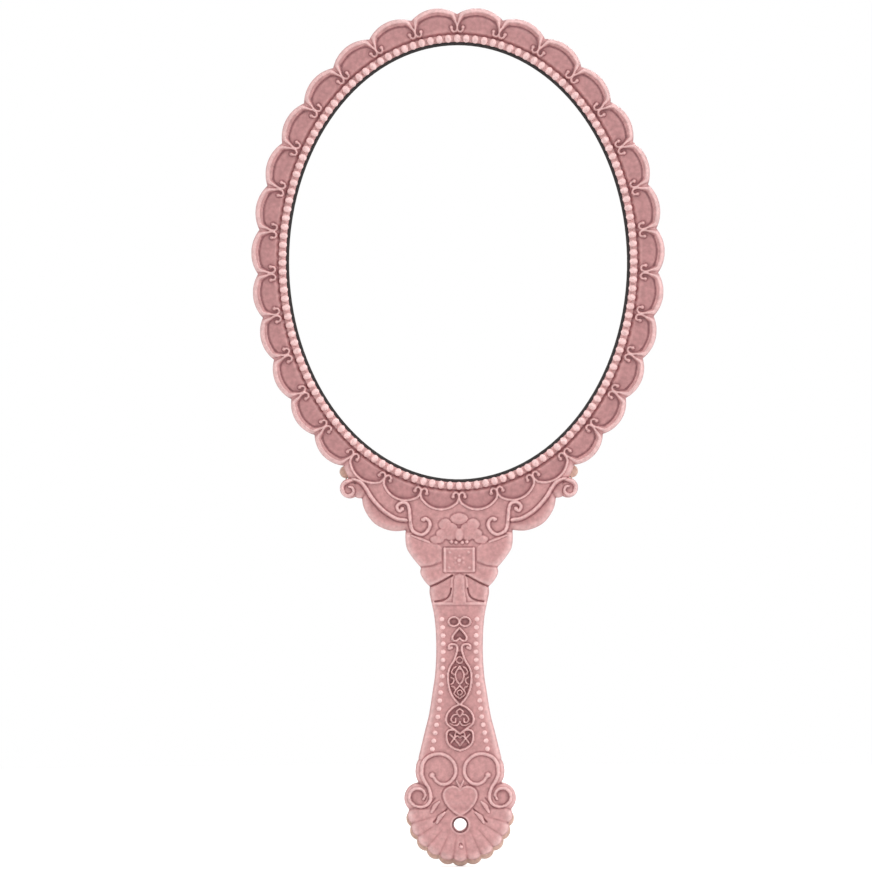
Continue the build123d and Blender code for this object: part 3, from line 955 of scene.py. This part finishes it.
def add_range(tree, source, start, end, low, high):
    """Spreads a value from one range to another."""
    spread = add_node(tree, "ShaderNodeMapRange",
                      {"From Min": start, "From Max": end, "To Min": low, "To Max": high},
                      {"Value": source})
    return spread.outputs["Result"]


def add_ramp(tree, source, steps):
    """A colour ramp through the given places and colours."""
    ramp = add_node(tree, "ShaderNodeValToRGB", feeds={"Fac": source})
    elements = ramp.color_ramp.elements
    for element, (place, shade) in zip(elements, (steps[0], steps[-1])):
        element.position = place
        element.color = (*shade, 1)
    for place, shade in steps[1:-1]:
        elements.new(place).color = (*shade, 1)
    return ramp.outputs["Color"]


def add_bump(tree, height, strength, distance):
    """Fine surface grain from a height."""
    bump = add_node(tree, "ShaderNodeBump", {"Strength": strength, "Distance": distance},
                    {"Height": height})
    return bump.outputs["Normal"]


def plastic(name, base, highlight_gain, shade_gain, rough):
    """Moulded plastic: its colour follows the painted shading of the relief, with a slight mottle and
    flow marks.

    The highlight and shade gains say how much lighter and darker than the base the painted highlight
    and painted shade turn the colour.
    """
    pale = [min(1.0, value * gain) for value, gain in zip(base, highlight_gain)]
    dark = [value * gain for value, gain in zip(base, shade_gain)]
    darkest = [0.3 * value for value in dark]
    made, tree, shader, place = new_material(name)
    links = tree.links
    shader["Specular IOR Level"].default_value = 0.5
    painted_shading = add_node(tree, "ShaderNodeAttribute", attribute_name="painted_shading").outputs["Fac"]
    # Painted shade towards the low end of the ramp, painted highlight towards the high end.
    colour = add_ramp(tree, painted_shading, ((0.0, darkest), (0.2, dark), (0.5, base), (1.0, pale)))
    mottle = add_range(tree, add_noise(tree, place, 900, 3), 0.3, 0.7, 0.84, 1.14)
    tint = add_node(tree, "ShaderNodeVectorMath", feeds={0: colour, "Scale": mottle},
                    operation="SCALE")
    links.new(tint.outputs["Vector"], shader["Base Color"])
    gloss = add_range(tree, add_noise(tree, place, 160, 3), 0.3, 0.7, rough - 0.06, rough + 0.08)
    links.new(gloss, shader["Roughness"])
    links.new(add_bump(tree, add_noise(tree, place, 1400, 3), 0.25, 0.00012), shader["Normal"])
    return made


def linear(colour):
    """A display colour, 0 to 255, as the linear values that a shader takes."""
    scaled = np.asarray(colour, float) / 255
    low = scaled / 12.92
    high = ((scaled + 0.055) / 1.055) ** 2.4
    return tuple(float(value) for value in np.where(scaled <= 0.04045, low, high))


def body_plastic(half):
    """The plastic of the front or back half of the body, made when it is first asked for."""
    colours = bpy.context.scene.hand_mirror
    # Each half's base colour, its gains for painted highlight and painted shade, and its roughness.
    name, base, highlight_gain, shade_gain, rough = {
        "front": ("rose plastic", colours.rose_colour, (1.55, 2.05, 2.03), (0.52, 0.39, 0.42), 0.4),
        "back": ("pale rose plastic", colours.back_colour, (1.22, 1.42, 1.5), (0.59, 0.44, 0.42),
                 0.42),
    }[half]
    return bpy.data.materials.get(name) or plastic(name, tuple(base), highlight_gain, shade_gain, rough)



def silvered_glass():
    """Clear mirror: silver behind a polished face."""
    made, tree, shader, place = new_material("silvered glass")
    shader["Metallic"].default_value = 1.0
    shader["Base Color"].default_value = (1.0, 1.0, 1.0, 1)
    haze = add_range(tree, add_noise(tree, place, 30), 0.0, 1.0, 0.0, 0.02)
    tree.links.new(haze, shader["Roughness"])
    return made


def speckled(name, dark, light, scale, rough):
    """A matt material with a fine speckle."""
    made, tree, shader, place = new_material(name)
    shader["Roughness"].default_value = rough
    grain = add_noise(tree, place, scale, 4)
    tree.links.new(add_ramp(tree, grain, ((0.35, dark), (0.65, light))), shader["Base Color"])
    tree.links.new(add_bump(tree, grain, 0.3, 0.0001), shader["Normal"])
    return made


def black_rubber_and_shade():
    """Soft gasket rubber in black, which also stands in for the shadow gap and dark reflection at the
    glass's edge, as painted shade.
    """
    return speckled("black rubber and painted shade", linear((16, 12, 12)), linear((34, 27, 27)), 900, 0.6)


def grey_foam():
    """Open foam of the pad behind the glass."""
    return speckled("grey foam", linear((70, 70, 72)), linear((120, 120, 122)), 1500, 0.95)


def cell_groups(relief):
    """The net's cells, in groups of a workable size."""
    cell_x = relief.x[:-1, :-1] + relief.pitch / 2
    cell_z = relief.z[:-1, :-1] + relief.pitch / 2
    upper = cell_z > HEAD_SPLIT_Z
    return (
        ("rim_left", upper & (cell_x < 0)),
        ("rim_right", upper & (cell_x > 0)),
        ("shoulders", ~upper & (cell_z > NECK_SPLIT_Z)),
        ("handle", cell_z <= NECK_SPLIT_Z),
    )


class MIRROR_OT_front(bpy.types.Operator):
    """Builds the front half of the body, with its lobes, scrolls and fan"""

    bl_idname = "hand_mirror.front"
    bl_label = "Front half"

    def execute(self, context):
        sizes = context.scene.hand_mirror
        relief = front_relief(sizes.relief_step / MM)
        out = from_oval(relief.x, relief.z, LIP_A, LIP_B)
        round_edge(relief, 1.7)
        hang_hole(relief, 3.9)
        height = relief.heights(-FRONT_LOW[1] - 0.05)
        painted_shading = painted_shading_of(relief, height)
        relief.edge = np.maximum(relief.edge, BEAD_LIP - out)
        for name, cells in cell_groups(relief):
            mesh = relief_mesh(f"front_{name}", relief, height, painted_shading, cells, -1, POCKET_LEVEL, 0.0,
                               BEAD_LIP)
            finish_piece(f"front_{name}", mesh, body_plastic("front"), "front_frame")
        return {"FINISHED"}


class MIRROR_OT_back(bpy.types.Operator):
    """Builds the back half of the body, with its panel and medallion"""

    bl_idname = "hand_mirror.back"
    bl_label = "Back half"

    def execute(self, context):
        sizes = context.scene.hand_mirror
        relief = back_relief(sizes.relief_step / MM * 1.15)
        round_edge(relief, 1.5)
        hang_hole(relief, 3.2)
        top = BACK_HIGH[1] - 0.05
        height = relief.heights(top)
        painted_shading = painted_shading_of(relief, height)
        relief.edge = np.maximum(relief.edge, -from_oval(relief.x, relief.z, LIP_A, LIP_B))
        for name, cells in cell_groups(relief):
            mesh = relief_mesh(f"back_{name}", relief, height, painted_shading, cells, 1, RECESS_LEVEL)
            finish_piece(f"back_{name}", mesh, body_plastic("back"), "back_shell")
        panel = panel_relief(sizes.relief_step / MM * 1.9)
        height = panel.heights(top)
        everywhere = np.ones((panel.x.shape[0] - 1, panel.x.shape[1] - 1), bool)
        mesh = relief_mesh("back_panel", panel, height, painted_shading_of(panel, height), everywhere,
                           1, None, RECESS_LEVEL)
        finish_piece("back_panel", mesh, body_plastic("back"), "back_shell")
        return {"FINISHED"}


class MIRROR_OT_beads(bpy.types.Operator):
    """Sets the rows of beads round the glass, down the handle and round the medallion"""

    bl_idname = "hand_mirror.beads"
    bl_label = "Beads"

    def execute(self, context):
        sizes = context.scene.hand_mirror
        bead = sizes.bead_size / MM
        tree = bead_tree()
        ring_a, ring_b = LIP_A + BEAD_RING, LIP_B + BEAD_RING
        count = sizes.bead_count
        for name, facing, level, material, node, slot in (
            ("front_rim_beads", -1, 3.75, body_plastic("front"), "front_frame", "rose_plastic"),
            ("back_rim_beads", 1, 3.1, body_plastic("back"), "back_shell", "back_plastic"),
        ):
            line = oval_line(ring_a, ring_b, 360)
            mesh = bead_row(name, tree, [line], True, facing * level, count,
                            (bead * 0.94, bead, bead * 1.03), material)
            finish_piece(name, mesh, material, node)
        side = smooth_line(HANDLE_SIDE[::-1], 0.3)
        kept = side[(side[:, 1] < 58.9) & (side[:, 1] > 21.6)] * (0.7, 1)
        for name, facing, level, material, node, slot in (
            ("front_handle_beads", -1, 4.0, body_plastic("front"), "front_frame", "rose_plastic"),
            ("back_handle_beads", 1, 3.15, body_plastic("back"), "back_shell", "back_plastic"),
        ):
            mesh = bead_row(name, tree, [kept, kept * (-1, 1)], False, facing * level, 17,
                            (1.45, 1.1, 1.45), material)
            finish_piece(name, mesh, material, node)
        line = oval_line(15.2, 22.0, 240)
        material = body_plastic("back")
        mesh = bead_row("medallion_beads", tree, [line], True, 3.35, 66, (1.3, 1.3, 1.3), material)
        finish_piece("medallion_beads", mesh, material, "back_shell")
        return {"FINISHED"}


class MIRROR_OT_glass(bpy.types.Operator):
    """Finishes the mirror, its gasket and the foam behind it"""

    bl_idname = "hand_mirror.glass"
    bl_label = "Glass"

    def execute(self, context):
        for node, material in (("mirror_glass", silvered_glass()), ("glass_gasket", black_rubber_and_shade()),
                               ("foam_pad", grey_foam())):
            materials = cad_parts[node].data.materials
            materials.clear()
            materials.append(material)
        return {"FINISHED"}


class MIRROR_OT_stage(bpy.types.Operator):
    """Sets up the floor, the lamps, the world and the camera"""

    bl_idname = "hand_mirror.stage"
    bl_label = "Stage"

    def execute(self, context):
        scene = context.scene
        scene.view_settings.view_transform = "Standard"
        floor_z = CAD_BOX[0][2]
        turns = [tau * step / FLOOR_SIDES for step in range(FLOOR_SIDES)]
        mesh = bpy.data.meshes.new("floor")
        rim = [(FLOOR_RADIUS * cos(turn), FLOOR_RADIUS * sin(turn), floor_z) for turn in turns]
        mesh.from_pydata(rim, [], [tuple(range(FLOOR_SIDES))])
        floor = add_object("floor", mesh, floor_material())
        white_world(scene)
        for name, place, size, power in (
            ("front lamp", (0.5, -1.6, 0.9), 1.0, 6.9),
            ("right lamp", (1.25, -0.5, 0.45), 0.9, 8.5),
            ("left lamp", (-1.25, -0.5, 0.35), 0.9, 6.5),
            ("top lamp", (0.1, -0.35, 1.5), 0.9, 7.0),
            ("back lamp", (0.3, 1.4, 0.7), 0.9, 12.0),
        ):
            add_lamp(scene, name, place, size, power)
        data = bpy.data.cameras.new("camera")
        data.sensor_width = 36
        data.lens = 281
        data.clip_end = 50
        camera = bpy.data.objects.new("camera", data)
        camera.location = (-0.0065, -1.950, 0.1112)
        camera.rotation_euler = (radians(90), radians(0.22), 0)
        scene.collection.objects.link(camera)
        scene.camera = camera
        return {"FINISHED"}


def add_lamp(scene, name, place, size, power):
    """A square soft lamp aimed at the middle of the object."""
    data = bpy.data.lights.new(name, "AREA")
    data.shape = "SQUARE"
    data.size = size
    data.energy = power
    lamp = bpy.data.objects.new(name, data)
    lamp.location = place
    aim = Vector((0, 0, 0.12)) - Vector(place)
    lamp.rotation_euler = aim.to_track_quat("-Z", "Y").to_euler()
    scene.collection.objects.link(lamp)


def seen_directly(tree):
    """1 for camera, mirror and see-through rays, and 0 for the light that reaches the object."""
    path = tree.nodes.new("ShaderNodeLightPath").outputs
    total = path["Is Camera Ray"]
    for name in ("Is Glossy Ray", "Is Transmission Ray"):
        total = add_node(tree, "ShaderNodeMath", feeds={0: total, 1: path[name]},
                         operation="MAXIMUM").outputs[0]
    return total


def white_world(scene):
    """White where it is seen, and a plain grey light on the object."""
    world = bpy.data.worlds.new("studio")
    scene.world = world
    world.use_nodes = True
    tree = world.node_tree
    light = tree.nodes["Background"]
    light.inputs["Color"].default_value = (1, 1, 1, 1)
    light.inputs["Strength"].default_value = 0.4
    seen = add_node(tree, "ShaderNodeBackground", {"Color": (1, 1, 1, 1), "Strength": 1.0})
    mix = add_node(tree, "ShaderNodeMixShader", feeds={
        "Fac": seen_directly(tree), 1: light.outputs["Background"],
        2: seen.outputs["Background"]})
    tree.links.new(mix.outputs["Shader"], tree.nodes["World Output"].inputs["Surface"])


def floor_material():
    """Pale floor, white where it is seen, that keeps the object's shadow."""
    made, tree, shader, _ = new_material("pale floor")
    shader["Base Color"].default_value = (0.82, 0.82, 0.82, 1)
    shader["Roughness"].default_value = 0.9
    shader["Specular IOR Level"].default_value = 0.1
    strength = add_node(tree, "ShaderNodeMath", {1: 0.45}, {0: seen_directly(tree)},
                        operation="MULTIPLY")
    lift = add_node(tree, "ShaderNodeEmission", {"Color": (1, 1, 1, 1)},
                    {"Strength": strength.outputs[0]})
    both = add_node(tree, "ShaderNodeAddShader", feeds={
        0: tree.nodes["Principled BSDF"].outputs["BSDF"], 1: lift.outputs["Emission"]})
    tree.links.new(both.outputs["Shader"], tree.nodes["Material Output"].inputs["Surface"])
    return made


class HandMirrorSizes(bpy.types.PropertyGroup):
    rose_colour: bpy.props.FloatVectorProperty(
        name="Rose colour", description="Plastic of the front half", size=3, subtype="COLOR",
        min=0.0, max=1.0, default=linear((196, 143, 142)))
    back_colour: bpy.props.FloatVectorProperty(
        name="Back colour", description="Plastic of the back half", size=3, subtype="COLOR",
        min=0.0, max=1.0, default=linear((230, 199, 182)))
    relief_step: bpy.props.FloatProperty(
        name="Relief step", description="Distance between the points of the relief",
        default=0.22 * MM, min=0.1 * MM, max=1.0 * MM, unit="LENGTH", precision=5)
    bead_size: bpy.props.FloatProperty(
        name="Bead size", description="Diameter of the beads round the glass",
        default=2.25 * MM, min=1.0 * MM, max=4.0 * MM, unit="LENGTH", precision=5)
    bead_count: bpy.props.IntProperty(
        name="Bead count", description="Number of beads round the glass", default=140, min=20, max=300)


class MIRROR_PT_panel(bpy.types.Panel):
    bl_label = "Hand mirror"
    bl_idname = "MIRROR_PT_panel"
    bl_space_type = "VIEW_3D"
    bl_region_type = "UI"
    bl_category = "Hand mirror"

    def draw(self, context):
        sizes = context.scene.hand_mirror
        for name in ("rose_colour", "back_colour", "relief_step", "bead_size", "bead_count"):
            self.layout.prop(sizes, name)
        for operator in OPERATORS:
            self.layout.operator(operator.bl_idname)


OPERATORS = (MIRROR_OT_front, MIRROR_OT_back, MIRROR_OT_beads, MIRROR_OT_glass, MIRROR_OT_stage)
CLASSES = (HandMirrorSizes,) + OPERATORS + (MIRROR_PT_panel,)


def register():
    for item in CLASSES:
        bpy.utils.register_class(item)
    bpy.types.Scene.hand_mirror = bpy.props.PointerProperty(type=HandMirrorSizes)


def unregister():
    del bpy.types.Scene.hand_mirror
    for item in reversed(CLASSES):
        bpy.utils.unregister_class(item)


def main():
    register()
    bpy.ops.hand_mirror.front()
    bpy.ops.hand_mirror.back()
    bpy.ops.hand_mirror.beads()
    bpy.ops.hand_mirror.glass()
    bpy.ops.hand_mirror.stage()


if __name__ == "__main__":
    main()
